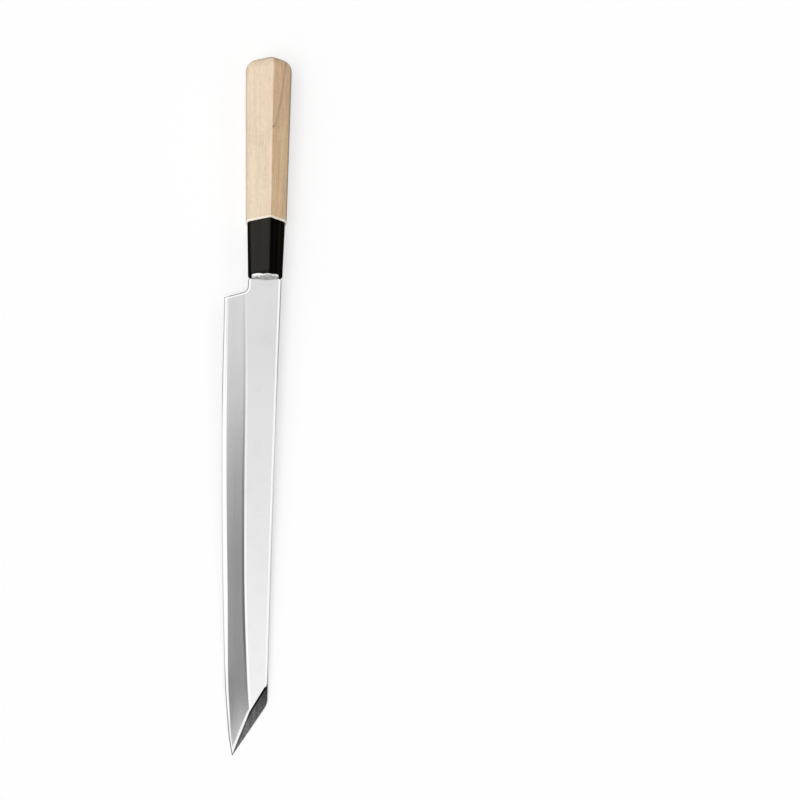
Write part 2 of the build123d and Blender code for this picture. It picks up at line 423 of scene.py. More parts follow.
def spine_at(y):
    """The spine: the parabola through its three named points."""
    share = (NECK_END - y) / (NECK_END - CLIP_CORNER.y)
    ends = SPINE[0] * (1 - share) * (1 - 2 * share) + SPINE[2] * share * (2 * share - 1)
    return ends + SPINE[1] * 4 * share * (1 - share)


spine_along = Vector((spine_at(CLIP_CORNER.y) - spine_at(CLIP_CORNER.y + 1), -1)).normalized()
clip_turn = math.acos(spine_along.dot(clip_along))
clip_reach = CLIP_ROUND * math.tan(clip_turn / 2)
arc_start = CLIP_CORNER - spine_along * clip_reach
arc_end = CLIP_CORNER + clip_along * clip_reach
arc_middle = arc_end + clip_inward * CLIP_ROUND


def spine_side(y):
    """Right end of the row at y."""
    if y > arc_start.y:
        return spine_at(y) - shoulder_inset(y)
    if y > arc_end.y:
        return arc_middle.x + math.sqrt(CLIP_ROUND**2 - (y - arc_middle.y) ** 2)
    return CLIP_CORNER.x + clip_along.x * (y - CLIP_CORNER.y) / clip_along.y


print("clipped corner turns by", round(math.degrees(clip_turn), 1), "degrees")


# %% Heights of the ground faces
def flat_height(x, y):
    along = between(SPINE_THICKNESS, TIP_THICKNESS, -y / BLADE_LENGTH)
    return along - FACE_FALL * (SPINE[0] - x) / (SPINE[0] + HEEL_DROP)


facet_inner = CLIP_CORNER + clip_inward * FACET_WIDTH
facet_slope = (flat_height(*facet_inner) - CLIP_LAND) / FACET_WIDTH


def facet_height(x, y):
    return CLIP_LAND + facet_slope * (Vector((x, y)) - CLIP_CORNER).dot(clip_inward)


def ground_lines(y):
    """Strip and ridge line at y, each as its place across and its height."""
    station = -y / BLADE_LENGTH
    ridge = -HEEL_DROP * from_table(STATIONS, RIDGE_SHARES, station)
    width = HONED_WIDTH * from_table(STATIONS, HONED_SHARES, station)
    strip = (edge_at(y) + width, EDGE_LAND + HONED_SLOPE * width)
    return strip, (ridge, flat_height(ridge, y))


def front_height(x, y, facet=True):
    """The lowest of all ground faces."""
    strip, ridge = ground_lines(y)
    bevel = between(strip[1], ridge[1], (x - strip[0]) / (ridge[0] - strip[0]))
    honed = EDGE_LAND + HONED_SLOPE * (x - edge_at(y))
    past_ease = x - spine_at(y) + SPINE_EASE[0]
    flat = flat_height(x, y)
    heights = [flat, bevel, honed, flat - past_ease * SPINE_EASE[1] / SPINE_EASE[0]]
    return min(heights + [facet_height(x, y)] * facet)


def facet_start(y):
    """Where the facet begins at y, found by halving the row."""
    low, high = edge_side(y), spine_side(y)
    if facet_height(high, y) >= front_height(high, y, facet=False):
        return high
    for _ in range(40):
        middle = (low + high) / 2
        above = facet_height(middle, y) > front_height(middle, y, facet=False)
        low, high = (middle, high) if above else (low, middle)
    return high


print("ridge line at the heel:", [round(v, 2) for v in ground_lines(0)[1]])

# %% [markdown]
# ### Rows round the blade
#
# The mesh is a stack of closed rows, from the tip to the end of the tang. Every row has the same
# number of points, shared out over the same zones, so each zone keeps its own column of faces and
# can get its own finish. Where a zone runs out, as at the heel or the tip, its points fall together
# and are merged afterwards. Five measures are kept on the points for the materials: the share of
# the way along, and the distances from the ridge line, from the facet's inner line, from the row's
# left end and from the outline.

# %% Zones and rows
ZONES = (  # name, number of faces across
    ("honed", 4),
    ("bevel", 12),
    ("flat", 12),
    ("ease", 2),
    ("facet", 6),
    ("side", 1),
    ("rim", 2),
    ("hollow", 14),
    ("rim", 2),
    ("side", 1),
)
TIP_ROWS = 6  # the closest rows at the tip end this far from it
POINT_ROWS = -245  # the close rows round the clipped corner end here
HEEL_ROWS = (-12, -4)  # where rows get closer, and closer again, toward the heel corner


def steps(start, end, count):
    """Evenly spaced values after the start, up to the end."""
    return [between(start, end, (i + 1) / count) for i in range(count)]


def row_places():
    """Places along the knife where rows lie, closer together where the outline turns."""
    places = [-BLADE_LENGTH]
    stretches = (  # end of each stretch, and its number of rows
        (-BLADE_LENGTH + TIP_ROWS, 10),
        (arc_end.y, 22),
        (arc_start.y, 12),
        (POINT_ROWS, 14),
        (HEEL_ROWS[0], 70),
        (HEEL_ROWS[1], 4),
        (0, 8),
        (notch_start, 10),
        (notch_middle.y, 12),
        (shoulder_start, 3),
        (NECK_END, 8),
    )
    for end, count in stretches:
        places += steps(places[-1], end, count)
    return places


print("rows:", len(row_places()))


# %% One row
MEASURES = ("from_ridge", "from_facet", "from_edge", "from_outline", "along")


def outline_distance(x, y):
    """How far a place on the front is from the nearest side of the blade."""
    place = Vector((x, y))
    heel = ((x + HEEL_DROP) * heel_slope - y) * math.cos(heel_turn)
    notch = (place - notch_middle).length - NOTCH_ROUND
    if y > notch_middle.y:
        left = x - edge_side(y)
    elif x > notch_middle.x:
        left = min(notch, x - edge_at(y))
    else:
        left = min(heel, x - edge_at(y))
    clip = (place - CLIP_CORNER).dot(clip_inward)
    return max(min(left, clip, spine_side(y) - x), 0)


def blade_row(y):
    """One closed row at y: its points, each with its own measures."""
    left, right, facet = edge_side(y), spine_side(y), facet_start(y)
    strip, ridge = ground_lines(y)
    stops = [left, strip[0], ridge[0], spine_at(y) - SPINE_EASE[0], facet, right]
    stops = [min(max(stop, left), facet) for stop in stops[:5]] + [right]
    station = -y / BLADE_LENGTH
    low = max(edge_at(y) + HOLLOW_RIMS[0], left)
    high = between(low, spine_at(y) - HOLLOW_RIMS[1], from_table(HOLLOW_STATIONS, SPAN_SHARES, station))
    low, high = min(low, right), min(max(high, low), right)
    depth = HOLLOW_DEPTH * max(from_table(HOLLOW_STATIONS, HOLLOW_SHARES, station), 0)
    counts = [count for _, count in ZONES]
    top = [left]
    for start, end, count in zip(stops, stops[1:], counts):
        top += steps(start, end, count)
    points = [(x, front_height(x, y)) for x in top]
    points += [(right, z) for z in steps(points[-1][1], 0, counts[5])]
    points += [(x, 0) for x in steps(right, high, counts[6])]
    for x in steps(high, low, counts[7]):
        off_middle = (2 * x - low - high) / max(high - low, 1e-6)
        points.append((x, depth * (1 - off_middle**2)))
    points += [(x, 0) for x in steps(low, left, counts[8])]
    return [
        (x, y, z, (x - ridge[0], x - facet, x - left, outline_distance(x, y), station)) for x, z in points
    ]


def tang_row(row, y, width, thickness):
    """The last row again at y, pulled in to the tang's section."""
    middle = SPINE_THICKNESS / 2
    pulled = []
    for x, _, z, measures in row:
        x = min(max(x, -width / 2), width / 2)
        z = min(max(z, middle - thickness / 2), middle + thickness / 2)
        pulled.append((x, y, z, measures))
    return pulled


print("points in a row:", len(blade_row(0)))

# %% Blade mesh
ZONE_FINISHES = ("honed", "bevel", "flat", "ease", "facet", "side", "rim", "hollow")
SHARP_TURN = math.radians(30)
MERGE_DISTANCE = 0.002 * MM
LEAST_EDGE = 0.0005 * MM


def build_blade():
    rows = [blade_row(y) for y in row_places()]
    rows.append(tang_row(rows[-1], NECK_END, *TANG[0]))
    rows.append(tang_row(rows[-1], TANG_END, *TANG[1]))
    mesh = bmesh.new()
    layers = [mesh.verts.layers.float.new(name) for name in MEASURES]
    grid = []
    for row in rows:
        line = []
        for x, y, z, measures in row:
            point = mesh.verts.new(Vector((x, y, z)) * MM)
            for layer, measure in zip(layers, measures):
                point[layer] = measure
            line.append(point)
        grid.append(line)
    columns = [(name, n == 0) for name, count in ZONES for n in range(count)]
    size = len(grid[0])
    sharp = []
    for below, above in zip(grid, grid[1:]):
        for k, (name, first) in enumerate(columns):
            after = (k + 1) % size
            face = mesh.faces.new((below[k], above[k], above[after], below[after]))
            finish = "side" if above in grid[-2:] else name
            face.material_index = ZONE_FINISHES.index(finish)
            face.smooth = True
            if first:
                sharp.append(mesh.edges.get((below[k], above[k])))
    for edge in sharp:
        edge.smooth = False
    mesh.faces.new(grid[-1]).material_index = ZONE_FINISHES.index("side")
    bmesh.ops.remove_doubles(mesh, verts=mesh.verts, dist=MERGE_DISTANCE)
    bmesh.ops.dissolve_degenerate(mesh, dist=LEAST_EDGE, edges=mesh.edges)
    bmesh.ops.recalc_face_normals(mesh, faces=mesh.faces)
    for edge in mesh.edges:
        if len(edge.link_faces) == 2 and edge.calc_face_angle() > SHARP_TURN:
            edge.smooth = False
    data = bpy.data.meshes.new("blade_steel")
    mesh.to_mesh(data)
    open_edges = sum(not edge.is_manifold for edge in mesh.edges)
    print("blade:", len(data.polygons), "faces,", round(mesh.calc_volume() / MM**3), "cubic millimetres")
    print("open edges:", open_edges)
    mesh.free()
    return data


blade = bpy.data.objects.new("blade_steel", build_blade())
scene.collection.objects.link(blade)
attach(blade, "root")
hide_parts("blade")

# %% [markdown]
# ## Effects that several finishes share
#
# Three effects come back in more than one finish, so each is a node group that is built once. Long
# thin streaks stand for what a grinding belt, a polishing stone or wood fibres leave. Soft patches
# stand for what hands and oil leave. A band is a mask along a line at a known distance from it.
# All lengths are in millimetres, and every group gives a plain value, for the material to use.


# %% Helpers for effect groups
def place_of(tree, x=0.0, y=0.0, z=0.0):
    return add_node(tree, "ShaderNodeCombineXYZ", {0: x, 1: y, 2: z}).outputs[0]


def effect_group(name, inputs, outputs):
    """An empty group: its tree and its input sockets. An input of None is a vector."""
    group = bpy.data.node_groups.new(name, "ShaderNodeTree")
    for title, value in inputs.items():
        kind = "NodeSocketVector" if value is None else "NodeSocketFloat"
        socket = group.interface.new_socket(title, in_out="INPUT", socket_type=kind)
        if value is not None:
            socket.default_value = value
    for title in outputs:
        group.interface.new_socket(title, in_out="OUTPUT", socket_type="NodeSocketFloat")
    return group, add_node(group, "NodeGroupInput").outputs


def noise_of(tree, place, **inputs):
    """A noise texture's value at a place."""
    named = {title.title(): value for title, value in inputs.items()}
    return add_node(tree, "ShaderNodeTexNoise", {"Vector": place, **named}).outputs[0]


# %% Streaks, patches and bands
STREAK_REACH = 5  # the broad streaks are this many times as wide and long as the fine ones
streaks, given = effect_group(
    "streaks", {"Place": None, "Width": 0.2, "Length": 20.0, "Seed": 0.0}, ("Fine", "Broad")
)
calc = calculator(streaks)
found = {}
for title, reach in (("Fine", 1), ("Broad", STREAK_REACH)):
    across = calc("DIVIDE", 1 / reach, given["Width"])
    along = calc("DIVIDE", 1 / reach, given["Length"])
    size = place_of(streaks, across, along, across)
    scaled = vector_calc(streaks, "MULTIPLY_ADD", given["Place"], size, given["Seed"])
    found[title] = noise_of(streaks, scaled, scale=1.0, detail=2.0)
add_node(streaks, "NodeGroupOutput", found)

PATCH_START = 0.65  # the noise must pass this for a patch when the amount is 0
PATCH_GAIN = 0.4  # and so much less when it is 1
PATCH_SOFTNESS = 0.25
patches, given = effect_group("patches", {"Place": None, "Size": 20.0, "Amount": 0.5}, ("Mask",))
calc = calculator(patches)
size = calc("DIVIDE", 1.0, given["Size"])
cloud = noise_of(patches, given["Place"], scale=size, detail=3.0, roughness=0.6)
least = calc("MULTIPLY_ADD", given["Amount"], -PATCH_GAIN, PATCH_START)
most = calc("ADD", least, PATCH_SOFTNESS)
add_node(patches, "NodeGroupOutput", {0: spread_of(patches, cloud, least, most)})

band, given = effect_group(
    "band", {"Distance": 0.0, "Middle": 0.0, "Width": 1.0, "Softness": 0.5}, ("Mask",)
)
calc = calculator(band)
off_line = calc("ABSOLUTE", calc("SUBTRACT", given["Distance"], given["Middle"]))
inside = calc("SUBTRACT", calc("MULTIPLY", given["Width"], 0.5), off_line)
mask = calc("DIVIDE", calc("ADD", inside, given["Softness"]), given["Softness"], clamp=True)
add_node(band, "NodeGroupOutput", {0: mask})
print("effect groups:", [group.name for group in (streaks, patches, band)])

# %% [markdown]
# ### Starting a finish
#
# Every finish starts the same way: a new material with its shader, and the place on the object in
# millimetres, so that a streak's width can be written as it would be measured. Real surfaces are
# never quite smooth either, so a small relief helper turns any pattern into bumps of a known depth.


# %% Finish helpers
def effect(tree, group, **inputs):
    """Place a shared effect in a material, with its own values, given as its outputs."""
    named = {title.title(): value for title, value in inputs.items()}
    return add_node(tree, "ShaderNodeGroup", named, node_tree=group).outputs


def new_finish(name):
    """A new material: its tree, its shader and the place on the object in millimetres."""
    finish = bpy.data.materials.new(name)
    finish.use_nodes = True
    tree = finish.node_tree
    object_place = add_node(tree, "ShaderNodeTexCoord").outputs["Object"]
    place = vector_calc(tree, "SCALE", object_place, Scale=1 / MM)
    return finish, tree, tree.nodes["Principled BSDF"], place


def relief(tree, height, depth):
    """A bumped normal from a height from 0 to 1, so deep in millimetres."""
    inputs = {"Height": height, "Distance": depth * MM, "Strength": 1.0}
    return add_node(tree, "ShaderNodeBump", inputs).outputs[0]


def measure_of(tree, name):
    """A measure that the mesh keeps on its points."""
    return add_node(tree, "ShaderNodeAttribute", attribute_name=name).outputs["Fac"]


print("place scale:", round(1 / MM), "to the metre")

# %% [markdown]
# ## Ground steel
#
# One bar of steel shows eight finishes, because every face was ground or polished differently: a
# bright flat, a satin bevel, a honed strip, a coarse facet and a polished back. All are metal with
# fine lines along the blade. They differ in roughness and how strongly the lines show, and in a
# brightness that changes along the blade, which is painted reflection: the bevel is painted darkest
# shortly before the point, the honed strip nearly white and the facet dark. A mark is a band of
# painted light or shade on top of that, beside the edge, the ridge line, the facet or the outline.


# %% Steel by one rule
STREAK_LENGTH = 120  # a grinding line is this many times longer than it is wide
STAIN_AMOUNT = 0.4
ROUGHNESS_SHARES = (0.7, 0.6)  # least part of a finish's roughness, and what the streaks add
Mark = namedtuple("Mark", "measure middle width softness factors")


def steel(name, levels, roughness, lines, width, depth=0.002, marks=(), stains=(9.0, 0.03)):
    """Metal whose painted reflection follows levels along the blade, with lines, stains and painted
    marks.

    Widths, depths and a mark's own sizes are in millimetres. A mark's factors change the
    brightness, as stops along the blade. Stains have a size and a strength."""
    finish, tree, surface, place = new_finish(name)
    calc = calculator(tree)
    way = calc("ADD", measure_of(tree, "along"), 0.0, clamp=True)
    streak = effect(tree, streaks, place=place, width=width, length=STREAK_LENGTH * width)
    stain = effect(tree, patches, place=place, size=stains[0], amount=STAIN_AMOUNT)["Mask"]
    shade = calc("MULTIPLY_ADD", stain, -stains[1], 1.0)
    for kind in ("Fine", "Broad"):
        shade = calc("MULTIPLY", shade, calc("MULTIPLY_ADD", streak[kind], lines, 1 - lines / 2))
    for mark in marks:
        inputs = {"middle": mark.middle, "width": mark.width, "softness": mark.softness}
        mask = effect(tree, band, distance=measure_of(tree, mark.measure), **inputs)["Mask"]
        change = calc("SUBTRACT", ramp(tree, way, mark.factors), 1.0)
        shade = calc("MULTIPLY", shade, calc("MULTIPLY_ADD", mask, change, 1.0))
    shaded = vector_calc(tree, "SCALE", ramp(tree, way, levels), Scale=shade)
    least, added = (roughness * share for share in ROUGHNESS_SHARES)
    look = {
        "Base Color": vector_calc(tree, "MINIMUM", shaded, (1, 1, 1)),
        "Roughness": calc("MULTIPLY_ADD", streak["Broad"], added, least),
        "Metallic": 1.0,
        "Normal": relief(tree, streak["Fine"], depth),
    }
    fill(tree, surface, look)
    return finish


# %% Brightness along the blade
# Each stop is a share of the way from heel to tip, and the brightness there, a painted reflection.
FLAT_LEVELS = (
    (0.0, 0.74), (0.1, 0.73), (0.21, 0.765), (0.42, 0.8),
    (0.66, 0.86), (0.84, 0.9), (1.0, 0.95),
)
BEVEL_LEVELS = (
    (0.0, 0.7), (0.11, 0.7), (0.22, 0.635), (0.31, 0.52), (0.4, 0.43), (0.57, 0.335),
    (0.75, 0.325), (0.84, 0.305), (0.88, 0.355), (0.92, 0.48), (0.95, 0.62), (1.0, 0.8),
)
HONED_LEVELS = (
    (0.0, 0.78), (0.08, 0.82), (0.2, 0.97), (0.3, 1.0),
    (0.88, 1.0), (0.93, 0.75), (0.97, 0.75), (1.0, 0.9),
)
FACET_LEVELS = ((0.86, 0.17), (0.9, 0.42), (0.93, 0.66), (0.96, 0.62), (0.98, 0.85), (1.0, 0.9))
EASE_LEVELS = ((0.0, 0.95), (1.0, 1.0))
PLAIN_LEVELS = ((0.0, 0.85), (1.0, 0.9))
print("bevel, darkest:", min(level for _, level in BEVEL_LEVELS))

# %% [markdown]
# ### Marks beside the lines
#
# Where two ground faces meet, a thin line of painted shade lies on one side and a painted highlight on
# the other. So the bevel ends in a painted shadow at the ridge line and the flat starts with a painted
# highlight there, and the facet starts with a painted dark line, with a painted highlight on the bevel
# beside it. Round the outline a painted dark line lies at the very side with a painted highlight
# inside it, and the bevel is painted lighter toward the edge.

# %% Marks and finishes
RIDGE_SHADE = (
    (0, 0.97), (0.1, 0.84), (0.25, 0.8), (0.4, 0.7),
    (0.55, 0.6), (0.75, 0.5), (0.82, 0.85), (0.88, 1.0),
)
OUTLINE_SHADE = ((0, 0.3), (0.15, 0.35), (0.3, 0.65), (0.8, 0.5), (0.84, 0.2), (1, 0.15))
EDGE_SHADE = ((0, 0.6), (0.12, 0.45), (0.2, 0.3), (0.3, 0.65), (0.8, 0.5), (0.84, 0.2), (1, 0.15))
BEVEL_PAINTED_LIGHT = ((0, 1.0), (0.2, 1.02), (0.4, 1.15), (0.8, 1.1), (0.9, 0.8))
# Each mark paints a thin line: factors under 1 are painted shade, factors over 1 painted highlights.
ridge_shadow = Mark("from_ridge", -0.8, 0.8, 0.5, RIDGE_SHADE)
ridge_painted_light = Mark("from_ridge", 0.7, 0.8, 0.4, ((0, 1.04), (0.2, 1.12), (1, 1.2)))
bevel_painted_light = Mark("from_edge", 3.0, 0.0, 4.5, BEVEL_PAINTED_LIGHT)
facet_shade_line = Mark("from_facet", 0.5, 1.1, 0.3, ((0.87, 0.03), (0.9, 0.05), (0.93, 0.5), (1, 0.6)))
facet_painted_light = Mark("from_facet", -0.7, 1.0, 0.5, ((0.85, 1.2), (0.92, 2.4), (1, 2.4)))
outer_line = Mark("from_outline", 0.0, 0.7, 0.25, OUTLINE_SHADE)
honed_line = Mark("from_outline", 0.0, 0.7, 0.25, EDGE_SHADE)
outline_painted_light = Mark("from_outline", 1.1, 0.7, 0.3, ((0, 1.4), (1, 1.2)))

bevel_marks = [ridge_shadow, bevel_painted_light, facet_painted_light, outer_line, outline_painted_light]
flat_marks = [ridge_painted_light, outer_line, outline_painted_light]
honed_marks = [honed_line, outline_painted_light]
FACET_STAINS = (0.8, 0.45)
finishes = {  # levels, roughness, strength and width of the lines, their depth, marks, stains
    "honed": steel("steel_honed", HONED_LEVELS, 0.14, 0.04, 0.1, 0.002, honed_marks),
    "bevel": steel("steel_bevel", BEVEL_LEVELS, 0.26, 0.1, 0.14, 0.004, bevel_marks),
    "flat": steel("steel_flat", FLAT_LEVELS, 0.16, 0.03, 0.12, 0.001, flat_marks),
    "ease": steel("steel_ease", EASE_LEVELS, 0.14, 0.03, 0.1, 0.002, [outer_line]),
    "facet": steel("steel_facet", FACET_LEVELS, 0.22, 0.7, 0.3, 0.006, [facet_shade_line], FACET_STAINS),
    "side": steel("steel_side", PLAIN_LEVELS, 0.28, 0.08, 0.15),
    "rim": steel("steel_rim", PLAIN_LEVELS, 0.1, 0.03, 0.1),
    "hollow": steel("steel_hollow", PLAIN_LEVELS, 0.2, 0.06, 0.2),
}
for zone in ZONE_FINISHES:
    blade.data.materials.append(finishes[zone])
print("steel finishes:", len(finishes))

# %% [markdown]
# ## Bare wood
#
# The handle is pale, unvarnished wood with fine fibres along it. Its left face has a rosy tint in
# places. Its right face turns away from the light and is browner, partly olive and partly rosy:
# partly its own tint and partly painted shade, put on by a mask of the faces' direction. Fibres and
# tints are streaks, pores and the marks of hands are patches. The mask reads the surface's own
# direction, never the camera, so it stays put from every side.

# %% Wood colours and fibres
PALE_WOOD = (0.80, 0.672, 0.492, 1)
PINK_WOOD = (0.82, 0.649, 0.502, 1)
DULL_WOOD = (0.670, 0.530, 0.360, 1)
OLIVE_TINT_AND_SHADE = (0.94, 0.835, 0.68)  # tint and painted shade: what the right face keeps of each colour
ROSY_TINT_AND_SHADE = (0.975, 0.8, 0.69)
PINK_TINT = (0.42, 0.58)  # streak values between which the left face turns pink
ROSY_TINT = (0.4, 0.6)  # and the right face from olive to rosy
RIGHT_FACE = (0.0, 0.35)  # how far a face looks to the right before it counts as the right one
PORE_SIZE = 2.2
HAND_MARK_SIZE = 16.0
PORE_STRENGTH = 0.3
HAND_MARK_STRENGTH = 0.15

bare_wood, tree, surface, place = new_finish("bare_wood")
calc = calculator(tree)
x, y, _ = add_node(tree, "ShaderNodeSeparateXYZ", {0: place}).outputs
fibre = effect(tree, streaks, place=place, width=0.35, length=11.0)
tint = effect(tree, streaks, place=place, width=0.8, length=60.0, seed=11.0)
pores = effect(tree, patches, place=place, size=PORE_SIZE, amount=0.6)["Mask"]
handled = effect(tree, patches, place=place, size=HAND_MARK_SIZE, amount=0.5)["Mask"]
turned = add_node(tree, "ShaderNodeTexCoord").outputs["Normal"]
rightward = add_node(tree, "ShaderNodeSeparateXYZ", {0: turned}).outputs["X"]
right_face = spread_of(tree, rightward, *RIGHT_FACE)
left_face = calc("SUBTRACT", 1.0, right_face)

pink = calc("MULTIPLY", spread_of(tree, tint["Broad"], *PINK_TINT), left_face)
colour = blend_colours(tree, pink, PALE_WOOD, PINK_WOOD)
dull = calc("MULTIPLY", handled, HAND_MARK_STRENGTH)
dull = calc("MULTIPLY_ADD", pores, PORE_STRENGTH, dull)
colour = blend_colours(tree, dull, colour, DULL_WOOD)
# Partly tint, partly painted shade: the right face becomes browner and darker.
olive_and_shade, rosy_and_shade = (vector_calc(tree, "MULTIPLY", colour, kept) for kept in (OLIVE_TINT_AND_SHADE, ROSY_TINT_AND_SHADE))
browner_and_shaded = blend_colours(tree, spread_of(tree, tint["Fine"], *ROSY_TINT), olive_and_shade, rosy_and_shade)
colour = blend_colours(tree, right_face, colour, browner_and_shaded)
print("wood so far:", len(tree.nodes), "nodes")

# %% [markdown]
# ### One growth ring
#
# A board cut at a low angle to the trunk's growth rings shows each ring as a long curve with a
# pointed end. One such ring shows here, on the right face. It starts at a dark speck on the ridge
# and leaves the ridge toward the butt, its distance growing with the square root of the way. A
# noise lets it wander. The wood beside it grew late in the year and is a little darker.

# %% Growth ring and speck
RING_COLOUR = (0.33, 0.21, 0.125, 1)
RING_TIP = (3.0, 107.9)  # where the ring starts, across and along, at the ridge
RING_OPENING = 1.08  # how fast it opens toward the butt
RING_WANDER = 1.6
RING_STRENGTH = (0.25, 0.3)  # at least, and what the fibres add
SPECK_COLOUR = (0.42, 0.22, 0.13, 1)
SPECK = (RING_TIP[0] + 0.4, RING_TIP[1] + 0.6)
SPECK_SIZE = (1.1, 0.4)  # it starts to show at the first distance and is full at the second
SPECK_STRENGTH = 0.5
BUTT_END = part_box("handle_body")[1][1] / MM

past_tip = calc("MAXIMUM", calc("SUBTRACT", y, RING_TIP[1]), 0.0)
opening = calc("MULTIPLY", calc("SQRT", past_tip), RING_OPENING)
wander = calc("SUBTRACT", noise_of(tree, place, scale=0.35, detail=2.0), 0.5)
beside = calc("SUBTRACT", calc("SUBTRACT", x, RING_TIP[0]), opening)
beside = calc("MULTIPLY_ADD", wander, RING_WANDER, beside)
on_face = calc("MULTIPLY", spread_of(tree, y, RING_TIP[1] - 1, RING_TIP[1] + 1), right_face)
line = effect(tree, band, distance=beside, middle=0.0, width=0.3, softness=0.8)["Mask"]
broken = spread_of(tree, fibre["Broad"], 0.3, 0.7)
broken = calc("MULTIPLY_ADD", broken, RING_STRENGTH[1], RING_STRENGTH[0])
ring = product_of(tree, line, on_face, broken)
late_wood = effect(tree, band, distance=beside, middle=2.2, width=3.0, softness=1.6)["Mask"]
late_wood = calc("MULTIPLY", late_wood, on_face)
from_speck = vector_calc(tree, "DISTANCE", place_of(tree, x, y), place_of(tree, *SPECK))
speck = calc("MULTIPLY", spread_of(tree, from_speck, *SPECK_SIZE), SPECK_STRENGTH)
ring_reach = RING_OPENING * math.sqrt(BUTT_END - RING_TIP[1])
print("ring at the butt:", round(ring_reach, 1), "mm to the right of its tip")

# %% [markdown]
# ### Corners and rim: painted shade and a painted highlight
#
# A thin line of painted shade runs along the corners, where the sides begin: the mask is full where
# the surface has nearly turned to the side, and ends on the side itself. The right side is painted
# darker too. The rim at the front gets a painted highlight and is the palest part.

# %% Wood finish
PAINTED_RIM_LIGHT = (0.95, 0.86, 0.74, 1)
RIM_END = 49.9  # the painted highlight on the rim at the wood's front ends here
RIM_BLUR = 0.3
OUT_OF_TOP = (0.0, -0.384, 0.923)  # straight out of the ridged side, a little toward the tip
CORNER_START = (0.5, 0.85)  # how far the surface has turned aside where the painted shade grows
CORNER_END = (1.0, 0.98)  # and where it ends
RIGHT_SIDE = (0.72, 1.0)
FIBRE_CONTRAST = (0.28, 0.25)  # on the left face, and what the right face adds
LATE_WOOD_LOSS = 0.07
CORNER_SHADE = 0.38
SIDE_SHADE = 0.25

toward_top = vector_calc(tree, "DOT_PRODUCT", turned, OUT_OF_TOP)
aside = calc("SUBTRACT", 1.0, calc("ABSOLUTE", toward_top))
corner_start, corner_end = (spread_of(tree, aside, *turn) for turn in (CORNER_START, CORNER_END))
corner = calc("MULTIPLY", corner_start, corner_end)
right_side_shade = spread_of(tree, rightward, *RIGHT_SIDE)
uneven = calc("SUBTRACT", calc("ADD", fibre["Broad"], fibre["Fine"]), 1.0)
contrast = calc("MULTIPLY_ADD", right_face, FIBRE_CONTRAST[1], FIBRE_CONTRAST[0])
shade = calc("MULTIPLY_ADD", uneven, contrast, 1.0)
# Painted shade along the corners and on the right side.
for mask, loss in ((late_wood, LATE_WOOD_LOSS), (corner, CORNER_SHADE), (right_side_shade, SIDE_SHADE)):
    shade = calc("MULTIPLY_ADD", mask, -loss, shade)
shaded = vector_calc(tree, "SCALE", colour, Scale=shade)
shaded = blend_colours(tree, ring, shaded, RING_COLOUR)
shaded = blend_colours(tree, speck, shaded, SPECK_COLOUR)
# Painted highlight on the rim at the wood's front.
rim = spread_of(tree, y, RIM_END, RIM_END - RIM_BLUR)
look = {
    "Base Color": blend_colours(tree, rim, shaded, PAINTED_RIM_LIGHT),
    "Roughness": calc("MULTIPLY_ADD", fibre["Broad"], 0.2, 0.5),
    "Specular IOR Level": 0.3,
    "Normal": relief(tree, calc("ADD", fibre["Fine"], pores), 0.03),
}
fill(tree, surface, look)
print("wood finish:", len(tree.nodes), "nodes")

# %% [markdown]
# ## Horn
#
# The ferrule is buffalo horn, polished. It is nearly black, with faint brown streaks along it, and
# most of what the eye sees is the soft shine of the tent on its faces. The polish is good but done
# by hand, so the roughness wanders a little and the streaks stand up by a hair.

# %% Horn finish
BLACK_HORN = (0.0012, 0.0011, 0.001, 1)
BROWN_HORN = (0.01, 0.007, 0.004, 1)
WARM_SHINE = (1.0, 0.92, 0.76, 1)

black_horn, tree, surface, place = new_finish("black_horn")
fibre = effect(tree, streaks, place=place, width=0.5, length=30.0, seed=3.0)
handled = effect(tree, patches, place=place, size=7.0, amount=0.5)["Mask"]
brown = spread_of(tree, fibre["Broad"], 0.45, 0.75)
look = {
    "Base Color": blend_colours(tree, brown, BLACK_HORN, BROWN_HORN),
    "Roughness": calculator(tree)("MULTIPLY_ADD", handled, 0.05, 0.08),
    "IOR": 1.385,
    "Specular Tint": WARM_SHINE,
    "Normal": relief(tree, fibre["Fine"], 0.004),
}
fill(tree, surface, look)
print("horn finish:", black_horn.name)

# %% [markdown]
# ## Shapes by rule
#
# Wood, horn and the resin between horn and steel are made by Geometry Nodes. All three are skins
# round the knife's length: a few lines give the sections, one more line says how far each row lies
# along the knife, and a grid takes its places from them. The helpers here draw such lines, make the
# grid and end a tree.


# %% Geometry tree helpers
def tree_inputs(sizes, counts):
    """Names and kinds of a tree's inputs: sizes or shares, counts and the material."""
    return {**dict.fromkeys(sizes, "Float"), **dict.fromkeys(counts, "Int"), "Material": "Material"}


def new_geometry_tree(name, inputs):
    """An empty geometry tree and its input sockets."""
    tree = bpy.data.node_groups.new(name, "GeometryNodeTree")
    for title, kind in inputs.items():
        tree.interface.new_socket(title, in_out="INPUT", socket_type="NodeSocket" + kind)
    tree.interface.new_socket("Mesh", in_out="OUTPUT", socket_type="NodeSocketGeometry")
    return tree, add_node(tree, "NodeGroupInput").outputs


def parts_of(tree, vector):
    return add_node(tree, "ShaderNodeSeparateXYZ", {0: vector}).outputs


def chosen(tree, index, values, kind="FLOAT"):
    """The value whose number is the index."""
    node = add_node(tree, "GeometryNodeIndexSwitch", data_type=kind)
    while len(node.index_switch_items) < len(values):
        node.index_switch_items.new()
    fill(tree, node, enumerate([index, *values]))
    return node.outputs[0]


